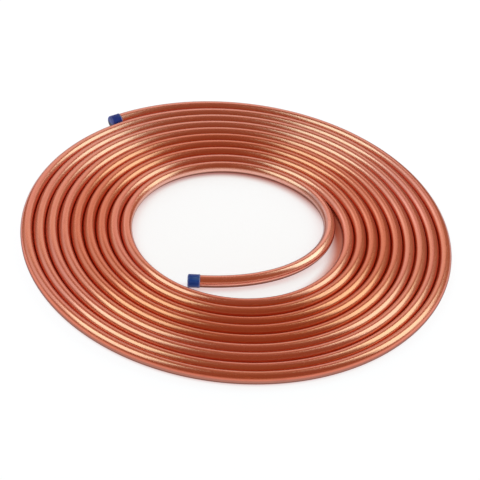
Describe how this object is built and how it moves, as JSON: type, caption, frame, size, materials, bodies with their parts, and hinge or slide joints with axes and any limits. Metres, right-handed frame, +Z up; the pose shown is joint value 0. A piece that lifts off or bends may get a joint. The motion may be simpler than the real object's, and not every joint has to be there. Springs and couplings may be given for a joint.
{
  "type": "copper tube coil",
  "caption": "Coil of soft copper tube wound flat in one spiral layer round an open bore, its inner end led across the bore, with a plastic push-on cap on each end",
  "frame": {"origin": "on the floor, under the middle of the coil's outline, with the coil lying flat as in use", "axes": "+Z up through the bore, +Y to the back (the outer end is at the back left), +X to the right"},
  "size_m": [0.6822, 0.6922, 0.0213],
  "materials": {
    "copper": null,
    "blue_plastic": "moulded blue polyethylene, slightly waxy"
  },
  "bodies": {
    "root": {"copper_tube": "copper", "outer_end_cap": "blue_plastic", "inner_end_cap": "blue_plastic"}
  },
  "joints": []
}
